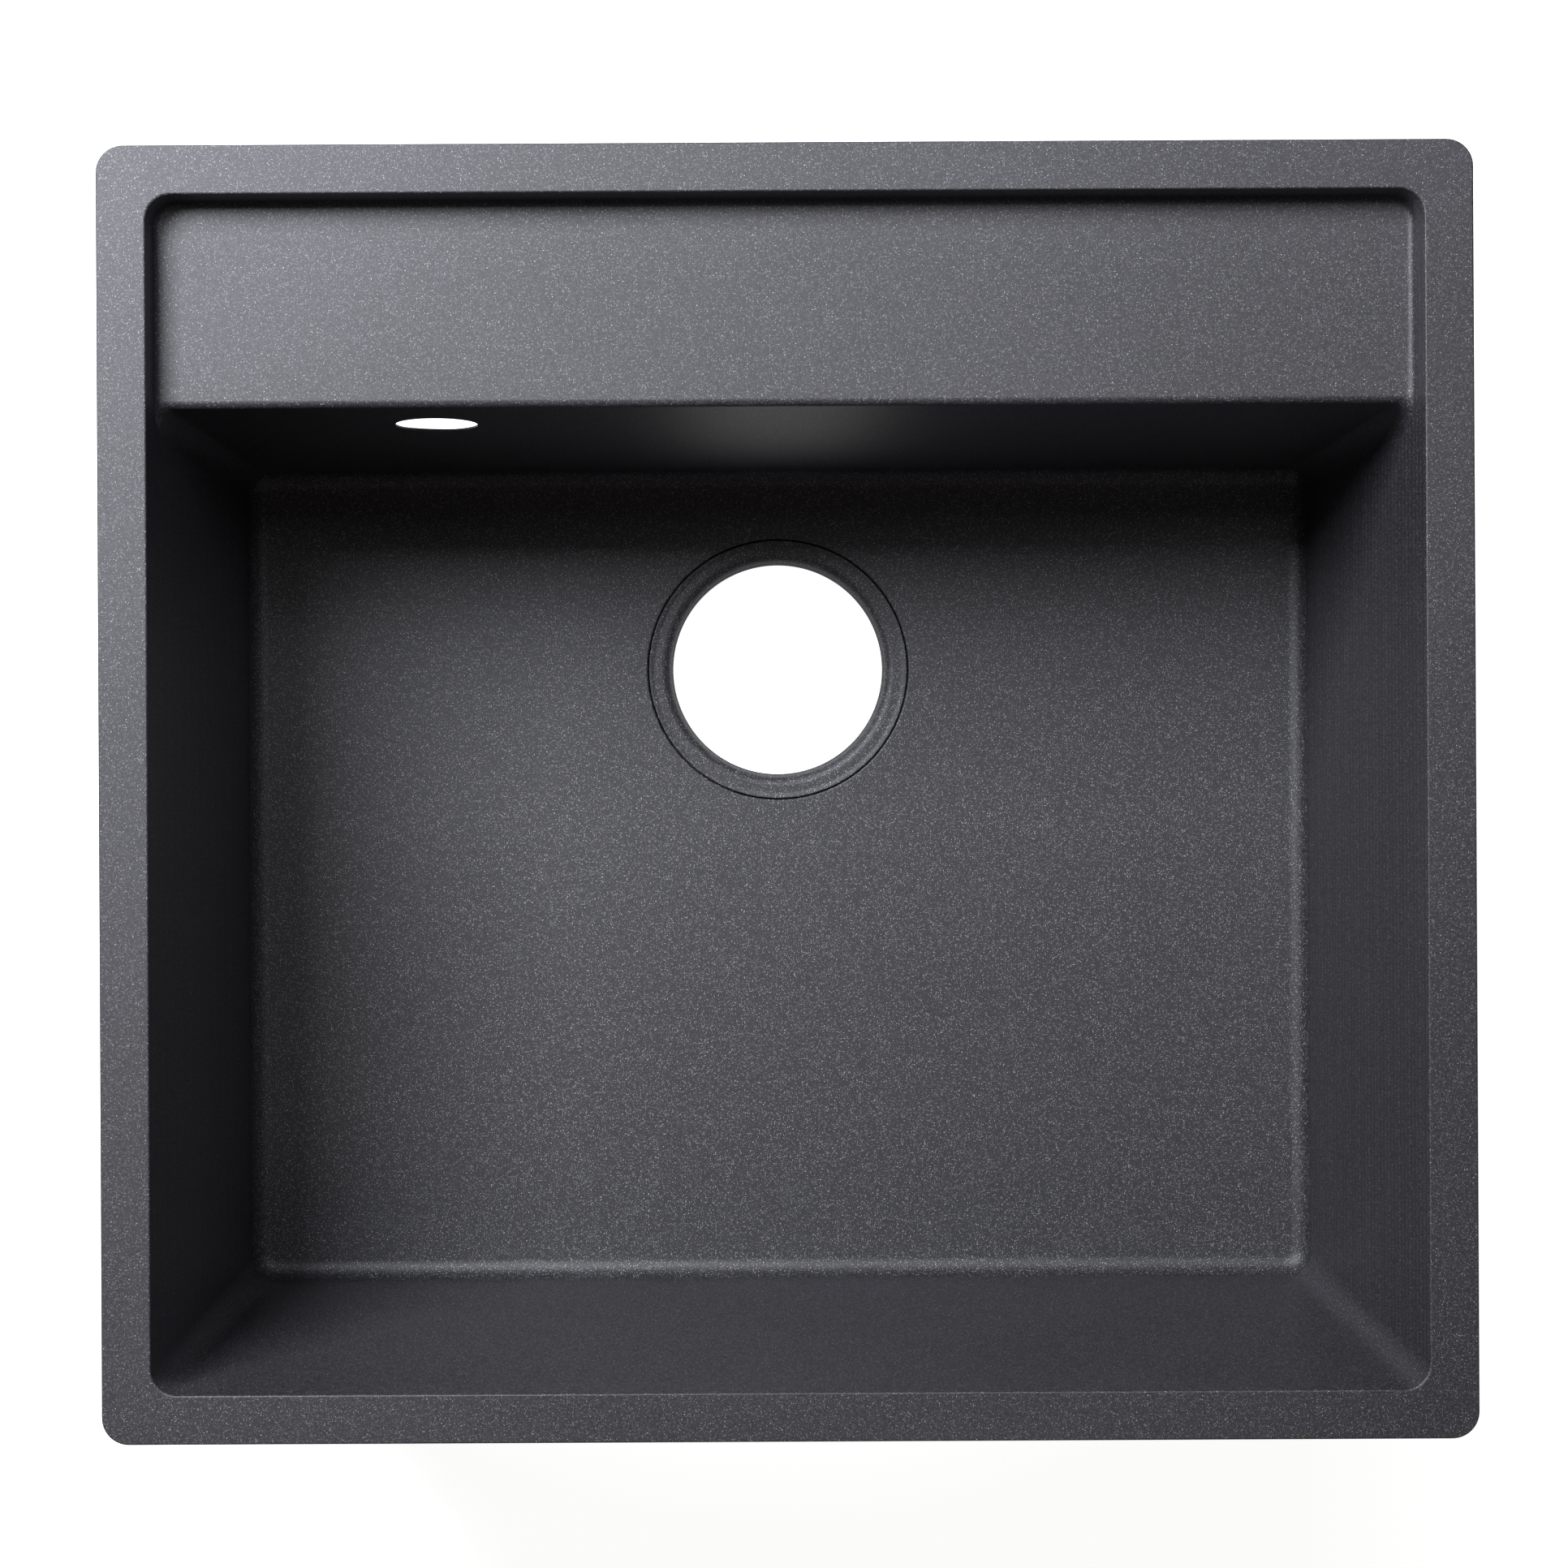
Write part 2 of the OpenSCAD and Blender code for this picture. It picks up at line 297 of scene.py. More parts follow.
def smooth(obj: bpy.types.Object, degrees: float = 30) -> None:
    """Shades a finished mesh smooth, with hard edges where it turns by more than degrees."""
    select_only(obj)
    bpy.ops.object.shade_smooth_by_angle(angle=math.radians(degrees))
    weights = obj.modifiers.new("Flat faces first", "WEIGHTED_NORMAL")
    weights.keep_sharp = True
    weights.weight = 100
    apply_modifier(obj, weights.name)


@dataclass(frozen=True)
class SinkSizes:
    """Sizes of the moulding that its neighbours share, in metres."""

    rim_w: float = 19 * MM
    rim_t: float = 9 * MM
    outline_r: float = 10.5 * MM
    corner_r: float = 10 * MM
    wall_t: float = 7 * MM
    draft: float = math.radians(4)
    floor_t: float = 12 * MM
    floor_fall: float = 1.5 * MM
    ledge_w: float = 81 * MM
    ledge_drop: float = 16 * MM
    ledge_t: float = 9 * MM
    ledge_fillet: float = 2.5 * MM
    ledge_ease: float = 3 * MM
    floor_fillet: float = 7.5 * MM
    overflow_depth: float = 60 * MM
    overflow_x: float = -139 * MM
    low: Vector = field(default_factory=lambda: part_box("bowl")[0])
    high: Vector = field(default_factory=lambda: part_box("bowl")[1])

    @property
    def top_z(self) -> float:
        """Height of the rim's top."""
        return self.high.z

    @property
    def rim_z(self) -> float:
        """Height of the rim's underside."""
        return self.top_z - self.rim_t

    @property
    def ledge_z(self) -> float:
        """Height of the tap ledge."""
        return self.top_z - self.ledge_drop

    @property
    def floor_edge_z(self) -> float:
        """Height of the floor at its edge."""
        return self.floor_t + self.floor_fall

    @property
    def open_x(self) -> float:
        """Half width of the opening at the rim's top."""
        return self.high.x - self.rim_w

    @property
    def open_y(self) -> float:
        """Half depth of the opening at the rim's top."""
        return self.high.y - self.rim_w

    def lean(self, z: float) -> float:
        """Level distance that a wall leans in from the rim's top down to z."""
        return (self.top_z - z) * math.tan(self.draft)

    def side_x(self, z: float) -> float:
        """Half width between the side walls at z."""
        return self.open_x - self.lean(z)

    def end_y(self, z: float) -> float:
        """Distance from the middle to the front wall, or to the ledge's rear wall, at z."""
        return self.open_y - self.lean(z)

    def rear_y(self, z: float) -> float:
        """Where the bowl's rear wall is at z."""
        return self.open_y - self.ledge_w - (self.ledge_z - z) * math.tan(self.draft)


@dataclass
class Cavity:
    """The space that the moulding holds, as a solid to cut it out with."""

    sizes: SinkSizes
    outlet: Vector
    seat_r: float
    seat_z: float
    spigot_r: float
    lip_r: float = 0.8 * MM
    lip_steep: float = math.radians(80)
    lip_steps: int = 6
    fillet_steps: int = 10
    ledge_cuts: int = 14
    floor_cuts: int = 15
    apron: float = 2 * MM
    apron_lip: float = 0.8 * MM
    near: float = 0.15 * MM

    def build(self) -> bpy.types.Object:
        """Builds the whole solid.

        Returns:
            A closed solid that stands proud of the rim's top.
        """
        solid = self._walls()
        self._round_lip(solid)
        join_solids(solid, self._ledge_block(), Cut.DIFFERENCE)
        self._fillet(solid)
        self._sink_outlet(solid)
        return solid

    def _walls(self) -> bpy.types.Object:
        """Box with leaning walls and round upright corners, up to where the lip rounds."""
        s = self.sizes
        lip_z = s.top_z - self.lip_r
        x, y = s.side_x(lip_z), s.end_y(lip_z)
        solid = add_box("cavity", Vector((-x, -y, s.floor_edge_z)), Vector((x, y, lip_z)))
        with Editing(solid, Pick.FACE) as edit:
            edit.faces(lambda c, n: n.z < -0.5)
            shrink = (s.side_x(s.floor_edge_z) / x, s.end_y(s.floor_edge_z) / y, 1)
            bpy.ops.transform.resize(value=shrink, center_override=(0, 0, 0))
            edit.mode(Pick.EDGE)
            edit.edges(lambda a, b: abs(a.z - b.z) > s.corner_r)
            bevel_selected(s.corner_r, self.fillet_steps)
        return solid

    def _round_lip(self, solid: bpy.types.Object) -> None:
        """Flares the solid's top, so that it leaves a rounded edge along the rim."""
        s = self.sizes
        lip_z = s.top_z - self.lip_r
        steep = self.lip_steep
        arc = [steep * i / self.lip_steps for i in range(1, self.lip_steps + 1)]
        rings = [(self.lip_r * (1 - math.cos(t)), lip_z + self.lip_r * math.sin(t)) for t in arc]
        run = self.lip_r / 2
        rings.append((rings[-1][0] + run * math.sin(steep), rings[-1][1] + run * math.cos(steep)))
        rings.append((rings[-1][0], rings[-1][1] + run))
        x, y, z = s.side_x(lip_z), s.end_y(lip_z), lip_z
        with Editing(solid, Pick.FACE) as edit:
            edit.faces(lambda c, n: n.z > 0.5)
            for out, up in rings:
                wide, deep = s.side_x(lip_z) + out, s.end_y(lip_z) + out
                bpy.ops.mesh.extrude_region_move(TRANSFORM_OT_translate={"value": (0, 0, up - z)})
                bpy.ops.transform.resize(value=(wide / x, deep / y, 1), center_override=(0, 0, 0))
                x, y, z = wide, deep, up

    def _ledge_block(self) -> bpy.types.Object:
        """Solid under the ledge, with a leaning front and an eased front edge."""
        s = self.sizes
        wide, low_z = s.high.x + s.wall_t, -s.floor_t
        block = add_box(
            "ledge_block",
            Vector((-wide, s.rear_y(s.ledge_z), low_z)),
            Vector((wide, s.high.y + s.wall_t, s.ledge_z)),
        )
        with Editing(block, Pick.VERT) as edit:
            edit.verts(lambda p: p.z < 0 and p.y < s.high.y)
            drop = s.rear_y(low_z) - s.rear_y(s.ledge_z)
            bpy.ops.transform.translate(value=(0, drop, 0))
            edit.mode(Pick.EDGE)
            edit.edges(lambda a, b: min(a.z, b.z) > 0 and max(a.y, b.y) < s.high.y)
            bevel_selected(s.ledge_ease, self.fillet_steps)
        return block

    def _weight(self, a: Vector, b: Vector) -> float:
        """How far an edge is rounded, as a share of the corner radius.

        Args:
            a: One end of the edge.
            b: Its other end.

        Returns:
            0 where the edge stays as it is.
        """
        s = self.sizes
        if max(a.z, b.z) < s.floor_edge_z + self.near:
            return s.floor_fillet / s.corner_r
        low_z, high_z = sorted((a.z, b.z))
        on_ledge = low_z > s.ledge_z - self.near and high_z < s.ledge_z + self.near
        small = s.ledge_fillet / s.corner_r
        if on_ledge:
            across = abs(a.x - b.x) > s.corner_r and max(a.y, b.y) < s.end_y(s.ledge_z) - self.near
            return 0 if across else small
        on_side = all(abs(p.x) > s.side_x(p.z) - self.near for p in (a, b)) and a.x * b.x > 0
        behind = all(p.y > s.rear_y(p.z) - self.near for p in (a, b))
        if not (on_side and behind and high_z < s.ledge_z + self.near):
            return 0
        share = ((a.z + b.z) / 2 - (s.ledge_z - s.ledge_ease)) / s.ledge_ease
        return 1 - (1 - small) * min(max(share, 0), 1)

    def _fillet(self, solid: bpy.types.Object) -> None:
        """Rounds the floor's edge, the rear corners and the ledge's edge in one go."""
        s = self.sizes
        on_ledge = lambda p: abs(p.z - s.ledge_z) < self.near / 5
        with Editing(solid) as edit:
            edit.edges(lambda a, b: on_ledge(a) and on_ledge(b) and abs(a.y - b.y) > s.ledge_w / 2)
            bpy.ops.mesh.subdivide(number_cuts=self.ledge_cuts)
        mesh = solid.data
        weights = mesh.attributes.new("bevel_weight_edge", "FLOAT", "EDGE")
        for edge in mesh.edges:
            a, b = (mesh.vertices[i].co for i in edge.vertices)
            weights.data[edge.index].value = self._weight(a, b)
        fillet = solid.modifiers.new("Fillets", "BEVEL")
        fillet.width = self.sizes.corner_r
        fillet.segments = self.fillet_steps
        fillet.limit_method = "WEIGHT"
        fillet.use_clamp_overlap = False
        apply_modifier(solid, fillet.name)

    def _sink_outlet(self, solid: bpy.types.Object) -> None:
        """Draws the floor down to the outlet, and sinks the ring's seat and hole into it."""
        s = self.sizes
        edge_r, lip = self.seat_r + self.apron, self.apron_lip
        steps = [math.radians(90) * i / 4 for i in range(5)]
        rings = [
            (self.seat_r + lip * (1 - math.sin(t)), s.floor_t - lip * (1 - math.cos(t))) for t in steps
        ]
        rings += [
            (self.seat_r, self.seat_z), (self.spigot_r, self.seat_z), (self.spigot_r, -s.floor_t)
        ]
        on_floor = lambda p: abs(p.z - s.floor_edge_z) < self.near / 5
        with Editing(solid, Pick.EDGE) as edit:
            edit.edges(lambda a, b: on_floor(a) and on_floor(b) and (a - b).length > s.ledge_w)
            bpy.ops.mesh.subdivide(number_cuts=self.floor_cuts)
            edit.mode(Pick.FACE)
            edit.faces(lambda c, n: on_floor(c) and n.z < -0.9999)
            bpy.ops.mesh.delete(type="ONLY_FACE")
            edit.mode(Pick.EDGE)
            around = edit.edges(lambda a, b: on_floor(a) and on_floor(b))
            bpy.ops.mesh.primitive_circle_add(
                vertices=around, radius=edge_r, location=(self.outlet.x, self.outlet.y, s.floor_t)
            )
            at_edge = lambda p: abs((p - self.outlet).xy.length - edge_r) < self.near
            edit.edges(lambda a, b: (on_floor(a) and on_floor(b)) or (at_edge(a) and at_edge(b)))
            bpy.ops.mesh.bridge_edge_loops(number_cuts=3, interpolation="LINEAR")
            edit.edges(lambda a, b: at_edge(a) and at_edge(b))
            r, z = edge_r, s.floor_t
            for ring_r, ring_z in rings:
                bpy.ops.mesh.extrude_edges_move(TRANSFORM_OT_translate={"value": (0, 0, ring_z - z)})
                middle = (self.outlet.x, self.outlet.y, ring_z)
                bpy.ops.transform.resize(value=(ring_r / r, ring_r / r, 1), center_override=middle)
                r, z = ring_r, ring_z
            bpy.ops.mesh.edge_face_add()
            face_outwards()


@dataclass
class Clamp:
    """One screw clamp under the rim, placed where its nodes are."""

    number: int

    @property
    def claw_box(self) -> tuple[Vector, Vector]:
        """Lowest and highest corner of the claw."""
        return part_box(f"claw_{self.number}")

    @property
    def screw_box(self) -> tuple[Vector, Vector]:
        """Lowest and highest corner of the screw."""
        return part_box(f"clamp_screw_{self.number}")

    @property
    def axis(self) -> Vector:
        """A point on the screw's axis, at z = 0."""
        low, high = self.screw_box
        return Vector(((low.x + high.x) / 2, (low.y + high.y) / 2, 0))


@dataclass
class Bowl:
    """The composite moulding: rim, bowl, tap ledge, clamp bosses and gussets."""

    sizes: SinkSizes
    clamps: list[Clamp]
    outlet: Vector
    ring_joint: float = 0.5 * MM
    seat_z: float = 6 * MM
    spigot_hole_r: float = 50.4 * MM
    boss_r: float = 4.35 * MM
    boss_drop: float = 40 * MM
    boss_edge: float = 0.5 * MM
    insert_r: float = 2.75 * MM
    insert_len: float = 10 * MM
    hole_r: float = 2.5 * MM
    hole_len: float = 28 * MM
    tap_hole_r: float = 17.5 * MM
    tap_hole_deep: float = 6 * MM
    tap_pitch: float = 178 * MM
    overflow_r: float = 16.5 * MM
    overflow_lip: float = 0.7 * MM
    relief_r: float = 26 * MM
    relief_drop: float = 30 * MM
    relief_edge: float = 1.5 * MM
    ledge_inset: float = 0.3 * MM
    gusset_t: float = 6 * MM
    gusset_reach: float = 34 * MM
    edge: float = 0.8 * MM
    corner_steps: int = 14

    def build(self) -> bpy.types.Object:
        """Builds the moulding.

        Returns:
            The finished mesh, shaded, without its material.
        """
        s = self.sizes
        seat_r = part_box("outlet_ring")[1].x + self.ring_joint
        body = self._rim()
        for part in self._underside():
            join_solids(body, part, Cut.UNION)
        cavity = Cavity(s, self.outlet, seat_r, self.seat_z, self.spigot_hole_r)
        join_solids(body, cavity.build(), Cut.DIFFERENCE)
        for tool in self._holes():
            join_solids(body, tool, Cut.DIFFERENCE)
        body.name = body.data.name = "moulded_bowl"
        smooth(body)
        return body

    def _rim(self) -> bpy.types.Object:
        """Slab that the rim is cut from, with round corners and eased edges."""
        s = self.sizes
        slab = add_box("rim", Vector((s.low.x, s.low.y, s.rim_z)), s.high)
        with Editing(slab) as edit:
            edit.edges(lambda a, b: abs(a.z - b.z) > s.rim_t / 2)
            bevel_selected(s.outline_r, self.corner_steps)
            edit.edges(lambda a, b: min(a.z, b.z) > s.top_z - self.edge)
            bevel_selected(self.edge, 4)
            edit.edges(lambda a, b: max(a.z, b.z) < s.rim_z + self.edge / 4)
            bevel_selected(self.edge / 2, 2)
        return slab

    def _shell(
        self, name: str, low_z: float, high_z: float, ends: Callable[[float], Point], inset: float, r: float
    ) -> bpy.types.Object:
        """Leaning box with round corners and a rounded underside.

        Args:
            name: The object's name.
            low_z: Its underside.
            high_z: Its top, inside the rim.
            ends: Gives its front and rear at a height.
            inset: How far its sides lie inside the bowl's outer face.
            r: Radius of its lower edge.

        Returns:
            The solid.
        """
        s = self.sizes
        wide = lambda z: s.side_x(z) + s.wall_t - inset
        front, rear = ends(high_z)
        box = add_box(name, Vector((-wide(high_z), front, low_z)), Vector((wide(high_z), rear, high_z)))
        front_low, rear_low = ends(low_z)
        corner = s.corner_r + s.wall_t
        with Editing(box, Pick.FACE) as edit:
            edit.faces(lambda c, n: n.z < -0.5)
            grow = (wide(low_z) / wide(high_z), (rear_low - front_low) / (rear - front), 1)
            middle, middle_low = (front + rear) / 2, (front_low + rear_low) / 2
            bpy.ops.transform.resize(value=grow, center_override=(0, middle, low_z))
            bpy.ops.transform.translate(value=(0, middle_low - middle, 0))
            edit.mode(Pick.EDGE)
            edit.edges(lambda a, b: abs(a.z - b.z) > (high_z - low_z) / 2)
            bevel_selected(corner, self.corner_steps)
            edit.edges(lambda a, b: max(a.z, b.z) < low_z + NEAR)
            bevel_selected(min(r, corner * 0.97), 10)
        return box

    def _underside(self) -> list[bpy.types.Object]:
        """Everything below the rim: bowl, ledge, bosses and gussets."""
        s = self.sizes
        parts = [
            self._shell(
                "bowl_body", 0, s.rim_z + s.rim_t / 2,
                lambda z: (-s.end_y(z) - s.wall_t, s.rear_y(z) + s.wall_t),
                0, s.corner_r + s.wall_t,
            ),
            self._shell(
                "ledge_body", s.ledge_z - s.ledge_t, s.rim_z + s.rim_t / 3,
                lambda z: (s.rear_y(s.ledge_z) - 4 * s.corner_r, s.end_y(z) + s.wall_t),
                self.ledge_inset, s.ledge_fillet,
            ),
        ]
        for clamp in self.clamps:
            low = clamp.axis + Vector((0, 0, s.rim_z - self.boss_drop))
            boss = add_rod("boss", self.boss_r, low, self.boss_drop + 2 * MM, 32)
            with Editing(boss) as edit:
                edit.edges(lambda a, b: max(a.z, b.z) < low.z + NEAR)
                bevel_selected(self.boss_edge, 2)
            parts.append(boss)
            if clamp.axis.y > s.open_y:
                parts += self._gussets(clamp.axis)
        return parts

    def _gussets(self, axis: Vector) -> list[bpy.types.Object]:
        """The two plates that tie a rear boss and the ledge to the bowl's rear wall."""
        s = self.sizes
        under = s.ledge_z - s.ledge_t
        boss_z = s.rim_z - self.boss_drop + self.insert_len / 2
        reach, low_z = self.gusset_reach, under - self.gusset_reach
        foot, low_foot = s.rear_y(under) + s.wall_t, s.rear_y(low_z) + s.wall_t
        outlines = (
            [(axis.y - reach, under - MM), (axis.y - self.boss_r, boss_z), (axis.y, boss_z),
             (axis.y, under + MM), (axis.y - reach, under + MM)],
            [(low_foot - MM, low_z), (low_foot, low_z), (foot + reach, under - MM),
             (foot + reach, under + MM), (foot - MM, under + MM)],
        )
        return [self._plate(axis.x, outline) for outline in outlines]

    def _plate(self, x: float, outline: Sequence[Point]) -> bpy.types.Object:
        """Upright plate at x that fills an outline of (y, z) points."""
        plate = add_chain("gusset", [Vector((x - self.gusset_t / 2, y, z)) for y, z in outline])
        with Editing(plate, Pick.VERT):
            bpy.ops.mesh.select_all(action="SELECT")
            bpy.ops.mesh.edge_face_add()
            bpy.ops.mesh.extrude_region_move(TRANSFORM_OT_translate={"value": (self.gusset_t, 0, 0)})
            face_outwards()
        return plate

    def _holes(self) -> list[bpy.types.Object]:
        """Overflow hole with its relief, tap-hole recesses and clamp holes."""
        s = self.sizes
        under = s.ledge_z - s.ledge_t
        tap_y = s.open_y - s.ledge_w / 2
        tools = self._overflow()
        for x in (-self.tap_pitch, 0, self.tap_pitch):
            low = Vector((x, tap_y, under - MM))
            tools.append(add_rod("tap_hole", self.tap_hole_r, low, self.tap_hole_deep + MM, 96))
        for clamp in self.clamps:
            low = clamp.axis + Vector((0, 0, s.rim_z - self.boss_drop - MM))
            tools.append(add_rod("insert_hole", self.insert_r, low, self.insert_len + MM, 40))
            tools.append(add_rod("screw_hole", self.hole_r, low, self.hole_len + MM, 40))
        return tools

    def _overflow(self) -> list[bpy.types.Object]:
        """Cutters for the overflow: its hole, and the flat relief behind it."""
        s = self.sizes
        z = s.top_z - s.overflow_depth
        place = Vector((s.overflow_x, s.rear_y(z), z))
        turn = Matrix.Rotation(-math.radians(90) - s.draft, 4, "X")
        hole = add_rod("overflow_hole", self.overflow_r, Vector((0, 0, -MM)), s.wall_t + 2 * MM, 96)
        r, lip = self.relief_r, self.overflow_lip
        relief = add_box("relief", Vector((-r, -r, lip)), Vector((r, r + self.relief_drop, s.wall_t + MM)))
        with Editing(relief) as edit:
            edit.edges(lambda a, b: abs(a.z - b.z) > MM)
            bevel_selected(r * 0.98, 24)
            edit.edges(lambda a, b: max(a.z, b.z) < lip + NEAR)
            bevel_selected(self.relief_edge, 4)
        return [turn_and_move(tool, turn, place) for tool in (hole, relief)]


@dataclass
class OutletRing:
    """The ring of the same composite that is bonded in round the waste hole."""

    hole_r: float = 46.4 * MM
    spigot_r: float = 50.35 * MM
    foot_z: float = 6 * MM
    throat: float = 0.8 * MM
    round_r: float = 4.5 * MM
    dish: float = 0.4 * MM
    dish_w: float = 2.4 * MM
    edge: float = 0.35 * MM
    ease: float = 0.1 * MM
    steps: int = 192

    def build(self) -> bpy.types.Object:
        """Builds the ring.

        Returns:
            The finished mesh, shaded, without its material.
        """
        low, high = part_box("outlet_ring")
        rim_r, top = (high.x - low.x) / 2, high.z
        quarter = [math.radians(9) * i for i in range(11)]
        flat_z, mouth_r, slope_r = top - self.dish, self.hole_r + self.throat, rim_r - self.edge
        swell = [i / 6 for i in range(1, 7)]
        outline: list[Point] = [
            (self.hole_r, self.edge), (self.hole_r + self.edge, 0),
            (self.spigot_r - self.edge, 0), (self.spigot_r, self.edge),
            (self.spigot_r, self.foot_z), (rim_r, self.foot_z), (rim_r, top - self.edge),
        ]
        outline += [
            (rim_r - self.edge * (1 - math.cos(t)), top - self.edge * (1 - math.sin(t)))
            for t in quarter[1:]
        ]
        outline += [
            (slope_r - self.dish_w * u, top - self.dish * (1 - math.cos(math.pi * u)) / 2) for u in swell
        ]
        outline += [
            (mouth_r + self.round_r * (1 - math.sin(t)), flat_z - self.round_r * (1 - math.cos(t)))
            for t in quarter
        ]
        fall = flat_z - self.foot_z
        outline += [(self.hole_r + self.ease, fall + 3 * self.ease), (self.hole_r, fall - 2 * self.ease)]
        middle = Vector(((low.x + high.x) / 2, (low.y + high.y) / 2, 0))
        ring = spin_profile("bonded_outlet_ring", outline, middle, self.steps)
        smooth(ring)
        return ring


@dataclass
class RimSeal:
    """The closed-cell foam strip under the rim's edge, butted at the rear."""

    corner_r: float = 9.5 * MM
    inner_corner_r: float = 4.53 * MM
    joint_x: float = 40 * MM
    joint_gap: float = 0.3 * MM
    soft_edge: float = 0.9 * MM

    def build(self) -> bpy.types.Object:
        """Builds the strip.

        Returns:
            The finished mesh, shaded, without its material.
        """
        low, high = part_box("rim_seal")
        width = self.corner_r - self.inner_corner_r
        strip = self._frame("foam_seal", low, high, self.corner_r)
        inset = Vector((width, width, -MM))
        inside = self._frame("inside", low + inset, high - inset, self.inner_corner_r)
        join_solids(strip, inside, Cut.DIFFERENCE)
        slot_low = Vector((self.joint_x, high.y - width - MM, low.z - MM))
        slot_high = Vector((self.joint_x + self.joint_gap, high.y + MM, high.z + MM))
        join_solids(strip, add_box("butt_joint", slot_low, slot_high), Cut.DIFFERENCE)
        with Editing(strip) as edit:
            edit.edges(lambda a, b: max(a.z, b.z) < low.z + NEAR)
            bevel_selected(self.soft_edge, 4)
        smooth(strip, 40)
        return strip

    def _frame(self, name: str, low: Vector, high: Vector, r: float) -> bpy.types.Object:
        """Box with round upright edges."""
        box = add_box(name, low, high)
        with Editing(box) as edit:
            edit.edges(lambda a, b: abs(a.z - b.z) > MM)
            bevel_selected(r, 12)
        return box


@dataclass
class ClampKit:
    """The pieces of a screw clamp, each modelled once about the screw's axis and copied."""

    screw_r: float = 2 * MM
    core_r: float = 1.6 * MM
    bore_r: float = 2.05 * MM
    pitch: float = 0.7 * MM
    head_r: float = 3.5 * MM
    head_h: float = 4 * MM
    shank: float = 34 * MM
    socket_af: float = 3 * MM
    socket_deep: float = 2 * MM
    ridge: tuple[float, ...] = (0, 0.42, 0.54, 0.96)
    thread_steps: int = 20
    head_lines: int = 60
    head_knurl: float = 0.965
    claw_r: float = 3.4 * MM
    claw_t: float = 5 * MM
    claw_len: float = 24 * MM
    tooth_t: float = 5 * MM
    tooth_h: float = 12 * MM
    heel_r: float = 1.8 * MM
    notch: float = 0.9 * MM
    washer_r: float = 3.4 * MM
    washer_t: float = 0.8 * MM
    washer_ease: float = 0.12 * MM
    insert_r: float = 2.75 * MM
    insert_len: float = 10 * MM
    insert_ease: float = 0.3 * MM
    insert_lines: int = 48
    insert_knurl: float = 0.96
    ease: float = 0.4 * MM

    def screw(self) -> bpy.types.Object:
        """Socket-head screw with a rolled thread, its head's seat on z = 0."""
        e, r, h = self.ease, self.head_r, self.head_h
        outline: list[Point] = [
            (0, -h), (r - e, -h), (r - e * 0.3, -h + e * 0.3), (r, -h + e), (r, -e / 2), (r - e / 2, 0),
            (self.screw_r - e / 8, 0), (self.core_r, e), (self.core_r, self.shank - 2 * e),
            (self.core_r - e, self.shank), (0, self.shank),
        ]
        screw = spin_profile("screw", outline, Vector(), self.head_lines)
        self._knurl(screw, r - e / 4, self.head_lines, self.head_knurl)
        socket_r = self.socket_af / 2 / math.cos(math.radians(30))
        socket = add_rod("socket", socket_r, Vector((0, 0, -h - MM)), self.socket_deep + MM, 6)
        join_solids(screw, socket, Cut.DIFFERENCE)
        thread = self._thread()
        select_only(screw, thread)
        bpy.ops.object.join()
        return screw

    def _knurl(self, piece: bpy.types.Object, from_r: float, lines: int, share: float) -> None:
        """Draws in every other line of a spun piece's outer face.

        Args:
            piece: The spun piece.
            from_r: The radius outside which the points lie.
            lines: How many lines go round it.
            share: What is left of their radius.
        """
        step = math.tau / lines
        with Editing(piece, Pick.VERT) as edit:
            edit.verts(lambda p: p.xy.length > from_r and round(math.atan2(p.y, p.x) / step) % 2 == 1)
            bpy.ops.transform.resize(value=(share, share, 1), center_override=(0, 0, 0))

    def _thread(self) -> bpy.types.Object:
        """The thread's ridge, wound up the shank."""
        inner, outer = self.core_r - self.ease / 4, self.screw_r
        radii = (inner, outer, outer, inner)
        places = [Vector((r, 0, 2 * self.ease + self.pitch * up)) for r, up in zip(radii, self.ridge)]
        thread = add_chain("thread", places)
        with Editing(thread, Pick.VERT):
            bpy.ops.mesh.select_all(action="SELECT")
            bpy.ops.mesh.edge_face_add()
            bpy.ops.mesh.delete(type="ONLY_FACE")
        winding = thread.modifiers.new("Winding", "SCREW")
        winding.angle = math.tau
        winding.screw_offset = self.pitch
        winding.iterations = int((self.shank - 5 * self.ease) / self.pitch) - 1
        winding.steps = winding.render_steps = self.thread_steps
        winding.use_merge_vertices = True
        winding.merge_threshold = WELD
        apply_modifier(thread, winding.name)
        with Editing(thread, Pick.VERT):
            bpy.ops.mesh.select_all(action="SELECT")
            bpy.ops.mesh.fill_holes(sides=0)
            face_outwards()
        return thread

    def washer(self) -> bpy.types.Object:
        """Stamped washer, its lower face on z = 0."""
        e, t = self.washer_ease, self.washer_t
        outline: list[Point] = [
            (self.bore_r, e), (self.bore_r + e, 0), (self.washer_r - e / 3, 0), (self.washer_r, e / 3),
            (self.washer_r, t - 2 * e), (self.washer_r - 0.6 * e, t - 0.6 * e), (self.washer_r - 2 * e, t),
            (self.bore_r + e, t), (self.bore_r, t - e),
        ]
        return spin_profile("washer", outline, Vector(), 64)

    def insert(self) -> bpy.types.Object:
        """Brass insert with a waist between two knurled bands, its mouth on z = 0."""
        r, b, n, e = self.insert_r, self.bore_r, self.insert_len, self.insert_ease
        outline: list[Point] = [
            (b, e), (b + e, 0), (r - e / 2, 0), (r, e / 2), (r, n * 0.42), (r - e, n * 0.45),
            (r - e, n * 0.55), (r, n * 0.58), (r, n - e), (r - e, n), (b + e, n), (b, n - e),
        ]
        insert = spin_profile("insert", outline, Vector(), self.insert_lines)
        self._knurl(insert, r - e / 4, self.insert_lines, self.insert_knurl)
        return insert

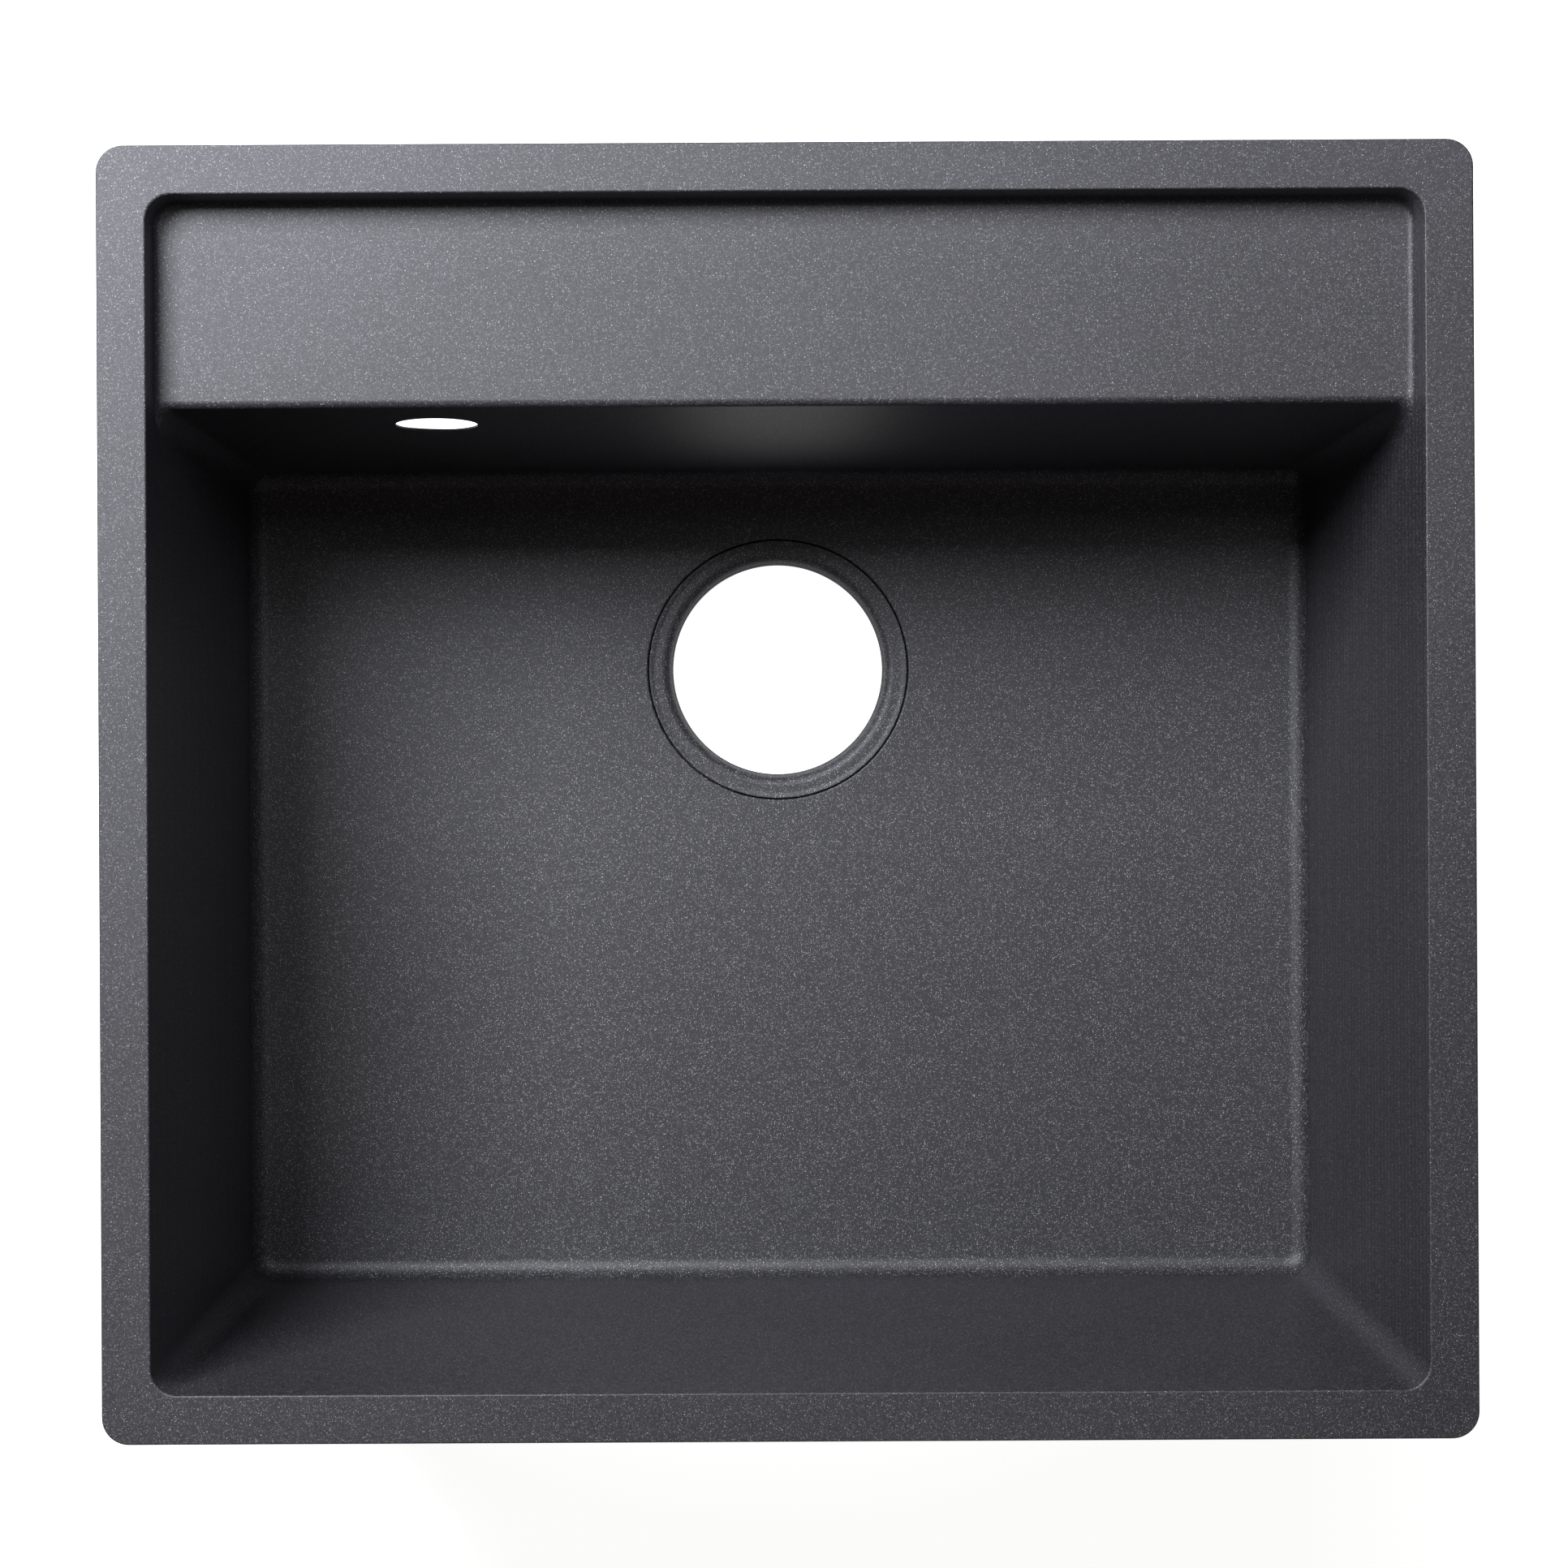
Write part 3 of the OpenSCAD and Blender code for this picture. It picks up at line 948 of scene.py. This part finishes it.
    def claw(self) -> bpy.types.Object:
        """Cast claw that reaches along +X, its underside on z = 0."""
        r, t, n = self.claw_r, self.claw_t, self.claw_len
        foot_x = n - self.tooth_t
        claw = add_box("claw", Vector((0, -r, 0)), Vector((n, r, t)))
        corner = lambda p: abs(p.x - foot_x) < NEAR and abs(p.z - t) < NEAR
        with Editing(claw, Pick.FACE) as edit:
            bpy.ops.mesh.select_all(action="SELECT")
            bpy.ops.mesh.bisect(plane_co=(foot_x, 0, 0), plane_no=(1, 0, 0))
            edit.faces(lambda c, n: n.z > 0.5 and c.x > foot_x)
            bpy.ops.mesh.extrude_region_move(TRANSFORM_OT_translate={"value": (0, 0, self.tooth_h)})
            edit.mode(Pick.EDGE)
            edit.edges(lambda a, b: corner(a) and corner(b))
            bevel_selected(self.heel_r, 6)
        join_solids(claw, add_rod("hub", r, Vector(), t, 48), Cut.UNION)
        half = Vector((self.notch / 2, 5 * MM, self.notch / 2))
        turn = Matrix.Rotation(math.radians(45), 4, "Y")
        for i in (1, 2, 3):
            notch = add_box("notch", -half, half)
            place = Vector((foot_x + i * self.tooth_t / 4, 0, t + self.tooth_h + self.ease / 4))
            join_solids(claw, turn_and_move(notch, turn, place), Cut.DIFFERENCE)
        edges = claw.modifiers.new("Eased edges", "BEVEL")
        edges.width = self.ease
        edges.segments = 3
        edges.limit_method = "ANGLE"
        edges.angle_limit = math.radians(50)
        apply_modifier(claw, edges.name)
        join_solids(claw, add_rod("bore", self.bore_r, Vector((0, 0, -MM)), t + 2 * MM, 48), Cut.DIFFERENCE)
        return claw

    def place(self, model: bpy.types.Object, name: str, place: Vector, degrees: float) -> bpy.types.Object:
        """Copies a model to a clamp, turned about the screw's axis."""
        copy = model.copy()
        copy.data = model.data.copy()
        copy.name = name
        bpy.context.scene.collection.objects.link(copy)
        return turn_and_move(copy, Matrix.Rotation(math.radians(degrees), 4, "Z"), place)


class Nodes:
    """A material's nodes, made and linked by plain calls."""

    def __init__(self, name: str) -> None:
        """Makes an empty material with an output.

        Args:
            name: The material's name.
        """
        self.material = bpy.data.materials.new(name)
        self.material.use_nodes = True
        self.tree = self.material.node_tree
        self.tree.nodes.clear()
        self.output = self.tree.nodes.new("ShaderNodeOutputMaterial")

    def add(self, kind: str, **settings: object) -> bpy.types.Node:
        """Adds a node, with settings on the node itself."""
        node = self.tree.nodes.new(kind)
        for name, value in settings.items():
            setattr(node, name, value)
        return node

    def link(self, source: bpy.types.NodeSocket, target: bpy.types.NodeSocket) -> None:
        """Links two sockets."""
        self.tree.links.new(source, target)

    def feed(self, socket: bpy.types.NodeSocket, value: object) -> None:
        """Links a socket to value if value is a socket, and sets it otherwise."""
        if isinstance(value, bpy.types.NodeSocket):
            self.link(value, socket)
        else:
            socket.default_value = value

    def place(self) -> bpy.types.NodeSocket:
        """The point on the object, in metres."""
        return self.add("ShaderNodeTexCoord").outputs["Object"]

    def axis(self, what: str) -> bpy.types.NodeSocket:
        """The upward part of the object's place or normal."""
        parts = self.add("ShaderNodeSeparateXYZ")
        self.link(self.add("ShaderNodeTexCoord").outputs[what], parts.inputs[0])
        return parts.outputs["Z"]

    def noise(self, scale: float, detail: float) -> bpy.types.NodeSocket:
        """Noise from about 0 to 1 with scale waves to the metre."""
        node = self.add("ShaderNodeTexNoise")
        self.link(self.place(), node.inputs["Vector"])
        node.inputs["Scale"].default_value = scale
        node.inputs["Detail"].default_value = detail
        return node.outputs["Fac"]

    def remap(
        self, value: object, low: float, high: float,
        to_low: float = 0, to_high: float = 1, smooth: bool = False,
    ) -> bpy.types.NodeSocket:
        """Maps low..high onto to_low..to_high, and holds it within them."""
        node = self.add("ShaderNodeMapRange", interpolation_type="SMOOTHSTEP" if smooth else "LINEAR")
        self.feed(node.inputs["Value"], value)
        ends = {"From Min": low, "From Max": high, "To Min": to_low, "To Max": to_high}
        for name, number in ends.items():
            node.inputs[name].default_value = number
        return node.outputs["Result"]

    def math(self, kind: str, a: object, b: object = 0.0) -> bpy.types.NodeSocket:
        """Result of one sum on two values."""
        node = self.add("ShaderNodeMath", operation=kind)
        self.feed(node.inputs[0], a)
        self.feed(node.inputs[1], b)
        return node.outputs[0]

    def times(self, a: object, b: object) -> bpy.types.NodeSocket:
        """Product of two values."""
        return self.math("MULTIPLY", a, b)

    def mix(self, share: object, a: object, b: object) -> bpy.types.NodeSocket:
        """Colour between a and b."""
        node = self.add("ShaderNodeMix", data_type="RGBA")
        self.feed(node.inputs[0], share)
        for socket, value in ((node.inputs[6], a), (node.inputs[7], b)):
            self.feed(socket, (*value, 1) if isinstance(value, tuple) else value)
        return node.outputs[2]

    def bump(self, height: object, depth: float, strength: float) -> bpy.types.NodeSocket:
        """Normal of a surface with this height, in metres at strength 1."""
        node = self.add("ShaderNodeBump")
        node.inputs["Strength"].default_value = strength
        node.inputs["Distance"].default_value = depth
        self.feed(node.inputs["Height"], height)
        return node.outputs["Normal"]

    def cells(self, size: float, feature: str) -> bpy.types.Node:
        """Cells of this size, each with its own colour."""
        node = self.add("ShaderNodeTexVoronoi", feature=feature)
        self.link(self.place(), node.inputs["Vector"])
        node.inputs["Scale"].default_value = 1 / size
        return node

    def surface(self, **sockets: object) -> None:
        """Adds the main shader and sets or links its sockets by name, with _ for a space."""
        shader = self.add("ShaderNodeBsdfPrincipled")
        for name, value in sockets.items():
            socket = shader.inputs[name.replace("_", " ")]
            self.feed(socket, (*value, 1) if isinstance(value, tuple) else value)
        self.link(shader.outputs[0], self.output.inputs["Surface"])


@dataclass(frozen=True)
class Speck:
    """One size of pale filler grain in the composite.

    A grain's brightness is its cell's lot, from 0 to 1, raised to rarity, so that few are bright.
    """

    cell: float
    radius: float
    rarity: float
    strength: float


@dataclass(frozen=True)
class Composite:
    """Moulded acrylic filled with quartz: grey-black, matt and finely speckled."""

    name: str = "speckled_composite"
    base: Rgb = (0.0354, 0.0336, 0.0430)
    deep: Rgb = (0.0122, 0.0113, 0.0146)
    grain: Rgb = (0.62, 0.63, 0.70)
    rough: float = 0.58
    wall_rough: float = 0.48
    steep: Point = (0.3, 0.9)
    grain_polish: float = 0.1
    shine: float = 1.0
    gloss_tint: Rgb = (0.90, 0.925, 1.0)
    cloud_waves: float = 9
    fine_waves: float = 900
    cloud_share: float = 0.25
    bump_waves: float = 420
    bump_depth: float = 0.05 * MM
    bump_strength: float = 0.2
    specks: tuple[Speck, ...] = (
        Speck(cell=0.36 * MM, radius=0.60, rarity=7, strength=0.60),
        Speck(cell=1.10 * MM, radius=0.22, rarity=2.5, strength=1.0),
    )
    # Below floor_z, on the bowl's floor, the body is painted darker and the grains brighter. This is painted
    # shade and painted light matched to how the floor is lit; the grains themselves are real.
    floor_z: Point = (17 * MM, 24 * MM)
    floor_grain_light: float = 1.5
    floor_body_shade: float = 0.15

    def make(self) -> bpy.types.Material:
        """Makes the material."""
        n = Nodes(self.name)
        cloud = n.remap(n.noise(self.cloud_waves, 3), 0.35, 0.65)
        fine = n.remap(n.noise(self.fine_waves, 1), 0.3, 0.7)
        high = n.axis("Object")
        share = n.math("ADD", n.times(cloud, self.cloud_share), n.times(fine, 1 - self.cloud_share))
        # Painted shade: the body goes darker towards the floor.
        share = n.times(share, n.remap(high, *self.floor_z, self.floor_body_shade, 1))
        pale: object = 0.0
        for speck in self.specks:
            pale = n.math("MAXIMUM", pale, self._grains(n, speck))
        # Painted light: the real grains are made brighter on the floor.
        grain_and_floor_light = n.times(pale, n.remap(high, *self.floor_z, self.floor_grain_light, 1))
        level = n.math("ABSOLUTE", n.axis("Normal"))
        rough = n.remap(level, *self.steep, self.wall_rough, self.rough)
        n.surface(
            Base_Color=n.mix(grain_and_floor_light, n.mix(share, self.deep, self.base), self.grain),
            Roughness=n.math("SUBTRACT", rough, n.times(pale, self.grain_polish)),
            IOR=1.5,
            Specular_IOR_Level=self.shine,
            Specular_Tint=self.gloss_tint,
            Normal=n.bump(n.noise(self.bump_waves, 3), self.bump_depth, self.bump_strength),
        )
        return n.material

    def _grains(self, n: Nodes, speck: Speck) -> bpy.types.NodeSocket:
        """Round grains, one to a cell, each with its own brightness."""
        cells = n.cells(speck.cell, "F1")
        lot = n.add("ShaderNodeSeparateColor")
        n.link(cells.outputs["Color"], lot.inputs[0])
        here = n.remap(cells.outputs["Distance"], speck.radius * 0.4, speck.radius, 1, 0, smooth=True)
        return n.times(n.times(here, n.math("POWER", lot.outputs[0], speck.rarity)), speck.strength)


@dataclass(frozen=True)
class Foam:
    """Closed-cell foam, near black, with fine pores."""

    name: str = "black_foam"
    base: Rgb = (0.022, 0.022, 0.024)
    # Darker colour painted into the pores as shade.
    pore_shade: Rgb = (0.008, 0.008, 0.009)
    pore_size: float = 0.6 * MM
    pore_deep: float = 0.15 * MM
    rough: float = 0.85

    def make(self) -> bpy.types.Material:
        """Makes the material."""
        n = Nodes(self.name)
        pits = n.remap(n.cells(self.pore_size, "SMOOTH_F1").outputs["Distance"], 0.1, 0.45)
        # Painted shade: the darker pore colour fills the pits' middles, where shade falls in the pores, and is
        # spread further by noise as random darker tone.
        shade = n.mix(n.times(pits, n.noise(60, 3)), self.pore_shade, self.base)
        n.surface(Base_Color=shade, Roughness=self.rough, Normal=n.bump(pits, self.pore_deep, 0.7))
        return n.material


@dataclass(frozen=True)
class PlatedSteel:
    """Zinc-plated steel with a faint spangle and dulled patches."""

    name: str
    base: Rgb
    rough: float
    dull: float = 0.72
    dull_share: float = 0.6

    def make(self) -> bpy.types.Material:
        """Makes the material."""
        n = Nodes(self.name)
        patch = n.remap(n.noise(180, 4), 0.35, 0.65)
        shade = n.mix(n.times(patch, self.dull_share), self.base, tuple(c * self.dull for c in self.base))
        rough = n.remap(n.noise(420, 3), 0.3, 0.7, self.rough - 0.06, self.rough + 0.12)
        grain = n.bump(n.noise(900, 2), 0.03 * MM, 0.4)
        n.surface(Base_Color=shade, Metallic=1.0, Roughness=rough, Normal=grain)
        return n.material


@dataclass(frozen=True)
class TurnedBrass:
    """Brass with fine turning marks along its length."""

    name: str = "turned_brass"
    base: Rgb = (0.72, 0.52, 0.22)
    dull: Rgb = (0.46, 0.32, 0.13)
    rough: float = 0.32
    mark_scale: float = 1400

    def make(self) -> bpy.types.Material:
        """Makes the material."""
        n = Nodes(self.name)
        marks = n.add("ShaderNodeTexWave", wave_type="BANDS", bands_direction="Z")
        n.link(n.place(), marks.inputs["Vector"])
        marks.inputs["Scale"].default_value = self.mark_scale
        marks.inputs["Distortion"].default_value = 0.6
        shade = n.mix(n.remap(n.noise(250, 3), 0.35, 0.7), self.base, self.dull)
        lines = n.bump(marks.outputs["Fac"], 0.02 * MM, 0.5)
        n.surface(Base_Color=shade, Metallic=1.0, Roughness=self.rough, Normal=lines)
        return n.material


@dataclass(frozen=True)
class Lamp:
    """Level soft lamp that faces straight down."""

    name: str
    x: float
    y: float
    wide: float
    deep: float
    watts: float
    tint: Rgb = (1, 1, 1)


@dataclass
class Studio:
    """White ground, one large lamp behind the sink's left, three weak ones, and the camera."""

    lamps: tuple[Lamp, ...] = (
        Lamp("key_lamp", -0.80, 0.85, 0.70, 0.80, 51.5),
        Lamp("rear_fill", -0.20, 0.75, 0.50, 0.30, 2.5),
        Lamp("overhead_fill", 0.25, 0.55, 0.40, 0.40, 2.4),
        Lamp("front_fill", 0.05, -0.62, 0.90, 0.25, 0.75, (1.0, 0.82, 0.66)),
    )
    lamp_z: float = 1.4
    ambient: float = 0.015
    paper: float = 0.8
    ground_glow: float = 0.93
    shaded_glow: float = 0.25
    sink_shade: Point = (0.27, 0.33)
    ground_half: float = 4.0
    eye: Vector = field(default_factory=lambda: Vector((-0.0263, 0.0280, 1.5463)))
    eye_turn: float = -0.0051
    focal: float = 79.69
    shift: Point = (0.0416, -0.04116)

    def build(self) -> None:
        """Builds everything that isn't the object."""
        self._camera()
        self._ground()
        self._world()
        for lamp in self.lamps:
            self._hang(lamp)

    def _camera(self) -> None:
        """Camera straight above, where the photograph was taken from."""
        data = bpy.data.cameras.new("view_from_above")
        data.lens = self.focal
        data.sensor_width = 36
        data.shift_x, data.shift_y = self.shift
        camera = bpy.data.objects.new(data.name, data)
        camera.location = self.eye
        camera.rotation_euler = (0, 0, self.eye_turn)
        bpy.context.scene.collection.objects.link(camera)
        bpy.context.scene.camera = camera

    def _ground(self) -> None:
        """White ground that shows as white and still takes the sink's shadow."""
        bpy.ops.object.select_all(action="DESELECT")
        bpy.ops.mesh.primitive_plane_add(size=2 * self.ground_half, location=(0, 0, 0))
        ground = settle(bpy.context.object, "ground")
        n = Nodes("white_ground")
        paper = n.add("ShaderNodeBsdfDiffuse")
        paper.inputs["Color"].default_value = (self.paper, self.paper, self.paper, 1)
        glow = n.add("ShaderNodeEmission")
        n.link(self._glow(n), glow.inputs["Strength"])
        both = n.add("ShaderNodeAddShader")
        n.link(paper.outputs[0], both.inputs[0])
        n.link(glow.outputs[0], both.inputs[1])
        n.link(both.outputs[0], n.output.inputs["Surface"])
        ground.data.materials.append(n.material)
        ground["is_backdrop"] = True

    def _glow(self, n: Nodes) -> bpy.types.NodeSocket:
        """How white the ground shows. Under the sink it is painted brighter to camera rays, a painted light that
        keeps the outlet and overflow white in the sink's shadow. It is painted darker there in a gloss, a
        painted shadow of the sink in reflections.
        """
        path = n.add("ShaderNodeLightPath")
        apart = n.add("ShaderNodeVectorMath", operation="LENGTH")
        n.link(n.place(), apart.inputs[0])
        straight = n.math("MAXIMUM", path.outputs["Is Camera Ray"], path.outputs["Is Transmission Ray"])
        # Painted light and painted shadow: full glow under the sink to camera rays, dim glow there to gloss
        # rays.
        seen = n.remap(apart.outputs["Value"], *self.sink_shade, 1.0, self.ground_glow)
        gloss = n.remap(apart.outputs["Value"], *self.sink_shade, self.shaded_glow, self.ground_glow)
        return n.math("MAXIMUM", n.times(straight, seen), n.times(path.outputs["Is Glossy Ray"], gloss))

    def _world(self) -> None:
        """White to look at, and weak as a light."""
        world = bpy.data.worlds.new("studio")
        world.use_nodes = True
        bpy.context.scene.world = world
        tree = world.node_tree
        path = tree.nodes.new("ShaderNodeLightPath")
        most = tree.nodes.new("ShaderNodeMath")
        most.operation = "MAXIMUM"
        tree.links.new(path.outputs["Is Camera Ray"], most.inputs[0])
        tree.links.new(path.outputs["Is Transmission Ray"], most.inputs[1])
        level = tree.nodes.new("ShaderNodeMapRange")
        level.inputs["To Min"].default_value = self.ambient
        tree.links.new(most.outputs[0], level.inputs["Value"])
        background = tree.nodes["Background"]
        background.inputs["Color"].default_value = (1, 1, 1, 1)
        tree.links.new(level.outputs["Result"], background.inputs["Strength"])

    def _hang(self, lamp: Lamp) -> None:
        """Hangs a lamp level, where no view shows it."""
        data = bpy.data.lights.new(lamp.name, "AREA")
        data.shape = "RECTANGLE"
        data.size, data.size_y = lamp.wide, lamp.deep
        data.energy = lamp.watts
        data.color = lamp.tint
        hung = bpy.data.objects.new(lamp.name, data)
        hung.location = (lamp.x, lamp.y, self.lamp_z)
        hung.visible_camera = False
        bpy.context.scene.collection.objects.link(hung)


@dataclass
class Sink:
    """The whole sink: it builds each piece, dresses it and ties it to its body."""

    turns: tuple[int, ...] = (0, 0, 90, 90, 180, 180, 270, 270)
    finishes: dict[str, bpy.types.Material] = field(default_factory=dict)

    def build(self) -> None:
        """Builds every piece."""
        self.finishes = {
            "composite": Composite().make(),
            "seal": Foam().make(),
            "insert_brass": TurnedBrass().make(),
            "claw_steel": PlatedSteel("cast_claw_steel", (0.60, 0.61, 0.62), 0.42).make(),
            "screw_steel": PlatedSteel("bright_screw_steel", (0.66, 0.67, 0.68), 0.26).make(),
        }
        clamps = [Clamp(number) for number in range(1, len(self.turns) + 1)]
        low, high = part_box("outlet_ring")
        bowl = Bowl(SinkSizes(), clamps, (low + high) / 2).build()
        self._fit(bowl, "sink", "composite", "bowl")
        self._fit(OutletRing().build(), "sink", "composite", "outlet_ring")
        seal = RimSeal().build()
        self._fit(seal, "sink", "seal", "rim_seal")
        self._clamps(clamps)

    def _clamps(self, clamps: list[Clamp]) -> None:
        """Copies the clamp's pieces to every clamp."""
        kit = ClampKit()
        models = {"screw": kit.screw(), "washer": kit.washer(), "claw": kit.claw(), "insert": kit.insert()}
        for model in models.values():
            smooth(model, 40)
        inserts = []
        for clamp, degrees in zip(clamps, self.turns):
            i, axis = clamp.number, clamp.axis
            at = lambda z: Vector((axis.x, axis.y, z))
            seat = at(clamp.screw_box[1].z - kit.shank)
            screw = kit.place(models["screw"], f"clamp_bolt_{i}", seat, degrees)
            self._fit(screw, f"screw_{i}", "screw_steel", f"clamp_screw_{i}")
            seat = at(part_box(f"washer_{i}")[0].z)
            washer = kit.place(models["washer"], f"flat_washer_{i}", seat, degrees)
            self._fit(washer, f"clamp_{i}", "screw_steel", f"washer_{i}")
            seat = at(clamp.claw_box[0].z)
            claw = kit.place(models["claw"], f"rim_claw_{i}", seat, degrees - 90)
            self._fit(claw, f"claw_{i}", "claw_steel", f"claw_{i}")
            seat = at(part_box("threaded_inserts")[0].z)
            inserts.append(kit.place(models["insert"], f"insert_{i}", seat, degrees))
        select_only(*inserts)
        bpy.ops.object.join()
        inserts[0].name = inserts[0].data.name = "brass_inserts"
        self._fit(inserts[0], "sink", "insert_brass", "threaded_inserts")
        for model in models.values():
            bpy.data.objects.remove(model)

    def _fit(self, piece: bpy.types.Object, body: str, slot: str, node: str) -> None:
        """Dresses a piece, and puts it in its node's place on its body."""
        piece.data.materials.clear()
        piece.data.materials.append(self.finishes[slot])
        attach(piece, body)
        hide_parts(node)
        LOG.info("%s on %s: %d faces", piece.name, body, len(piece.data.polygons))


def write_sizes() -> None:
    """Works out the model's box and the dressed object's box, without writing them anywhere."""
    boxes = {"cad": [list(corner) for corner in CAD_BOX], "visual": [list(corner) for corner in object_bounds()]}


def main() -> None:
    """Builds the studio and the sink."""
    logging.basicConfig(level=logging.INFO, format="%(name)s: %(message)s")
    bpy.context.scene.view_settings.view_transform = "Standard"
    Studio().build()
    Sink().build()
    write_sizes()


if __name__ == "__main__":
    main()
